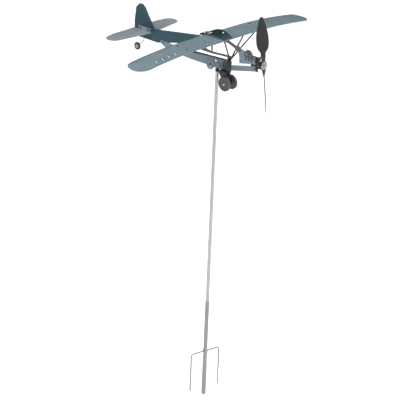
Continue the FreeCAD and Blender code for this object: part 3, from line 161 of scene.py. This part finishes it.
class Finish:
    """A material under construction: short calls that add and link nodes."""

    def __init__(self, name):
        self.material = bpy.data.materials.new(name)
        self.material.use_nodes = True
        self.tree = self.material.node_tree
        self.shader = self.tree.nodes["Principled BSDF"]
        self.place = self.add("ShaderNodeTexCoord").outputs["Object"]

    def add(self, kind, **values):
        node = self.tree.nodes.new(kind)
        for name, value in values.items():
            setattr(node, name, value)
        return node

    def link(self, output, socket):
        self.tree.links.new(output, socket)

    def noise(self, scale, detail=4.0, stretch=None):
        node = self.add("ShaderNodeTexNoise")
        node.inputs["Scale"].default_value = scale
        node.inputs["Detail"].default_value = detail
        if stretch:
            mapping = self.add("ShaderNodeMapping")
            mapping.inputs["Scale"].default_value = stretch
            self.link(self.place, mapping.inputs["Vector"])
            self.link(mapping.outputs["Vector"], node.inputs["Vector"])
        else:
            self.link(self.place, node.inputs["Vector"])
        return node.outputs["Fac"]

    def spread(self, source, low, high, start=0.3, end=0.7):
        """Map a texture value onto a range of plain values."""
        node = self.add("ShaderNodeMapRange")
        node.inputs["From Min"].default_value = start
        node.inputs["From Max"].default_value = end
        node.inputs["To Min"].default_value = low
        node.inputs["To Max"].default_value = high
        self.link(source, node.inputs["Value"])
        return node.outputs["Result"]

    def blend(self, factor, first, second):
        """Mix two colours; each is a fixed colour or an output."""
        node = self.add("ShaderNodeMix", data_type="RGBA")
        self.link(factor, node.inputs["Factor"])
        for socket, value in ((node.inputs[6], first), (node.inputs[7], second)):
            if isinstance(value, tuple):
                socket.default_value = value
            else:
                self.link(value, socket)
        return node.outputs[2]

    def edge_wear(self):
        """Up to CHIP_SHARE on sharp outer edges, broken up by noise."""
        pointed = self.add("ShaderNodeNewGeometry").outputs["Pointiness"]
        edges = self.spread(pointed, 0.0, 1.0, EDGE_START, EDGE_END)
        patches = self.spread(self.noise(CHIP_SCALE, CHIP_DETAIL), 0.0, CHIP_SHARE,
                              CHIP_START, CHIP_END)
        both = self.add("ShaderNodeMath", operation="MULTIPLY")
        self.link(edges, both.inputs[0])
        self.link(patches, both.inputs[1])
        return both.outputs["Value"]

    def relief(self, height, distance):
        """Bump over edges that are softened by a small radius."""
        round_off = self.add("ShaderNodeBevel", samples=BEVEL_SAMPLES)
        round_off.inputs["Radius"].default_value = EDGE_ROUND
        bump = self.add("ShaderNodeBump")
        bump.inputs["Distance"].default_value = distance
        bump.inputs["Strength"].default_value = 1.0
        self.link(height, bump.inputs["Height"])
        self.link(round_off.outputs["Normal"], bump.inputs["Normal"])
        self.link(bump.outputs["Normal"], self.shader.inputs["Normal"])


def ribs(finish):
    """Pressed rib lines that run across the chord, repeated along X."""
    wave = finish.add("ShaderNodeTexWave", wave_type="BANDS", bands_direction="X")
    wave.inputs["Scale"].default_value = WAVE_SCALE_TIMES_PITCH / RIB_PITCH
    wave.inputs["Distortion"].default_value = RIB_DISTORTION
    wave.inputs["Detail"].default_value = RIB_DETAIL
    finish.link(finish.place, wave.inputs["Vector"])
    return finish.spread(wave.outputs["Fac"], 0.0, 1.0, RIB_START, RIB_END)


def paint(name, colour, roughness, ribbed=False):
    """Sprayed paint on sheet: cloudy colour, orange peel or ribs with painted shade darkening the
    rib grooves, chipped bright edges.
    """
    finish = Finish(name)
    base = linear(colour)
    clouds = finish.spread(finish.noise(CLOUD_SCALE, CLOUD_DETAIL), 0.0, 1.0)
    body = finish.blend(clouds, scaled(base, CLOUD_DARK), scaled(base, CLOUD_LIGHT))
    grime = finish.spread(finish.noise(GRIME_SCALE, GRIME_DETAIL), 0.0, GRIME_SHARE,
                          GRIME_START, GRIME_END)
    body = finish.blend(grime, body, scaled(base, GRIME_SHADE))
    if ribbed:
        height, depth = ribs(finish), RIB_DEPTH
        # painted shade: the paint is darkened in the rib grooves, where the bump height is low
        body = finish.blend(height, scaled(base, RIB_GROOVE_PAINTED_SHADE), body)
    else:
        height, depth = finish.noise(PEEL_SCALE, PEEL_DETAIL), PEEL_DEPTH
    body = finish.blend(finish.edge_wear(), body, scaled(linear(CHIP_COLOUR), CHIP_SHADE))
    finish.link(body, finish.shader.inputs["Base Color"])
    finish.link(finish.spread(finish.noise(SHEEN_SCALE), roughness - SHEEN_BELOW,
                              roughness + SHEEN_ABOVE),
                finish.shader.inputs["Roughness"])
    finish.shader.inputs["Metallic"].default_value = PAINT_METALLIC
    finish.shader.inputs["Coat Weight"].default_value = COAT_WEIGHT
    finish.shader.inputs["Coat Roughness"].default_value = COAT_ROUGHNESS
    finish.relief(height, depth)
    return finish.material


def metal(name, colour, roughness, brushed):
    """Bare or plated metal, with drawing marks along the stake where it is brushed."""
    finish = Finish(name)
    base = linear(colour)
    marks = finish.noise(1.0, MARK_DETAIL, DRAWN_MARKS if brushed else EVEN_MARKS)
    haze = finish.spread(finish.noise(HAZE_SCALE, HAZE_DETAIL), 0.0, 1.0)
    body = finish.blend(haze, scaled(base, HAZE_DARK), scaled(base, HAZE_LIGHT))
    finish.link(body, finish.shader.inputs["Base Color"])
    finish.link(finish.spread(marks, roughness * MARK_SMOOTH, roughness * MARK_ROUGH),
                finish.shader.inputs["Roughness"])
    finish.shader.inputs["Metallic"].default_value = 1.0
    finish.relief(marks, DRAWN_DEPTH if brushed else EVEN_DEPTH)
    return finish.material


def moulded():
    """Black moulded plastic with a fine grain."""
    finish = Finish("black_plastic")
    base = linear(PLASTIC_COLOUR)
    tint = finish.spread(finish.noise(TINT_SCALE), 0.0, 1.0)
    finish.link(finish.blend(tint, scaled(base, TINT_DARK), scaled(base, TINT_LIGHT)),
                finish.shader.inputs["Base Color"])
    grain = finish.noise(GRAIN_SCALE, GRAIN_DETAIL)
    finish.link(finish.spread(grain, GRAIN_SMOOTH, GRAIN_ROUGH), finish.shader.inputs["Roughness"])
    finish.relief(grain, GRAIN_DEPTH)
    return finish.material


def dress_nodes():
    """Give every CAD node the finish that its slot names, with ribs on wing and tailplane."""
    finishes = {"black_plastic": moulded()}
    for name, (colour, roughness) in PAINTS.items():
        finishes[name] = paint(name, colour, roughness)
    for name, (colour, roughness) in METALS.items():
        finishes[name] = metal(name, colour, roughness, name == "satin_steel")
    tail_ribbed = paint("tail_grey_ribbed", *PAINTS["tail_grey"], ribbed=True)
    wing_ribbed = paint("wing_grey_ribbed", *PAINTS["wing_grey"], ribbed=True)
    for entry in frame["record"]["subparts"]:
        node = frame["nodes"][entry["node"]]
        finish = finishes[entry["material_slot"]]
        if entry["node"].startswith("tailplane_") and "grey" in entry["material_slot"]:
            finish = tail_ribbed
        if entry["node"] == "wing":
            finish = wing_ribbed
        node.data.materials.clear()
        node.data.materials.append(finish)


# ---- stage, light and camera -----------------------------------------------------------------
def floor():
    """Pale floor just under the spear's tip, white to the camera."""
    low = SIZE_AT_START[0][2]
    bpy.ops.mesh.primitive_plane_add(size=FLOOR_SIZE, location=(0, 0, low - FLOOR_GAP))
    plane = bpy.context.object
    plane.name = "floor"
    finish = Finish("floor_white")
    finish.shader.inputs["Base Color"].default_value = FLOOR_COLOUR
    finish.shader.inputs["Roughness"].default_value = FLOOR_ROUGHNESS
    rays = finish.add("ShaderNodeLightPath")
    glow = finish.add("ShaderNodeMath", operation="MULTIPLY")
    glow.inputs[1].default_value = FLOOR_GLOW
    finish.link(rays.outputs["Is Camera Ray"], glow.inputs[0])
    finish.shader.inputs["Emission Color"].default_value = WHITE
    finish.link(glow.outputs["Value"], finish.shader.inputs["Emission Strength"])
    plane.data.materials.append(finish.material)


def panel_light(name, place, size, power, target):
    """A soft rectangular light at a place, turned to its target."""
    data = bpy.data.lights.new(name, "AREA")
    data.shape = "RECTANGLE"
    data.size, data.size_y = size
    data.energy = power
    lamp = bpy.data.objects.new(name, data)
    bpy.context.scene.collection.objects.link(lamp)
    lamp.location = place
    aim = Vector(target) - Vector(place)
    lamp.rotation_euler = aim.to_track_quat("-Z", "Y").to_euler()


def surroundings():
    """White to the camera; to the object, dark towards the tail and light towards the nose."""
    world = bpy.data.worlds.new("studio")
    bpy.context.scene.world = world
    world.use_nodes = True
    tree = world.node_tree
    tree.nodes.clear()
    place = tree.nodes.new("ShaderNodeTexCoord")
    split = tree.nodes.new("ShaderNodeSeparateXYZ")
    tree.links.new(place.outputs["Generated"], split.inputs["Vector"])
    ramp = tree.nodes.new("ShaderNodeValToRGB")
    ramp.color_ramp.elements[0].color = STUDIO_DARK
    ramp.color_ramp.elements[1].color = STUDIO_LIGHT
    shift = tree.nodes.new("ShaderNodeMapRange")
    shift.inputs["From Min"].default_value = STUDIO_DARK_UP_TO
    shift.inputs["From Max"].default_value = STUDIO_LIGHT_FROM
    tree.links.new(split.outputs["X"], shift.inputs["Value"])
    tree.links.new(shift.outputs["Result"], ramp.inputs["Fac"])
    studio = tree.nodes.new("ShaderNodeBackground")
    studio.inputs["Strength"].default_value = STUDIO_STRENGTH
    tree.links.new(ramp.outputs["Color"], studio.inputs["Color"])
    white = tree.nodes.new("ShaderNodeBackground")
    white.inputs["Color"].default_value = WHITE
    white.inputs["Strength"].default_value = 1.0
    rays = tree.nodes.new("ShaderNodeLightPath")
    choose = tree.nodes.new("ShaderNodeMixShader")
    tree.links.new(rays.outputs["Is Camera Ray"], choose.inputs["Fac"])
    tree.links.new(studio.outputs["Background"], choose.inputs[1])
    tree.links.new(white.outputs["Background"], choose.inputs[2])
    output = tree.nodes.new("ShaderNodeOutputWorld")
    tree.links.new(choose.outputs["Shader"], output.inputs["Surface"])


def camera():
    """Camera on the starboard bow, a little above the aeroplane."""
    flat = math.cos(VIEW_ELEVATION)
    back = Vector((math.sin(VIEW_AZIMUTH) * flat, -math.cos(VIEW_AZIMUTH) * flat,
                   math.sin(VIEW_ELEVATION)))
    right = Vector((math.cos(VIEW_AZIMUTH), math.sin(VIEW_AZIMUTH), 0.0))
    up = back.cross(right)
    rolled_right = right * math.cos(VIEW_ROLL) + up * math.sin(VIEW_ROLL)
    rolled_up = up * math.cos(VIEW_ROLL) - right * math.sin(VIEW_ROLL)
    pole_top = Vector((0.0, 0.0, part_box("stake_upper")[1][2]))
    middle = pole_top - rolled_right * POLE_TOP_RIGHT - rolled_up * POLE_TOP_UP
    data = bpy.data.cameras.new("camera")
    data.angle = 2.0 * math.atan(FRAME_WIDTH / 2.0 / VIEW_DISTANCE)
    eye = bpy.data.objects.new("camera", data)
    bpy.context.scene.collection.objects.link(eye)
    turn = Matrix((rolled_right, rolled_up, back)).transposed().to_4x4()
    eye.matrix_world = Matrix.Translation(middle + back * VIEW_DISTANCE) @ turn
    bpy.context.scene.camera = eye


dress_nodes()
floor()
for panel in PANELS:
    panel_light(**panel)
surroundings()
camera()
bpy.context.scene.view_settings.view_transform = "Standard"
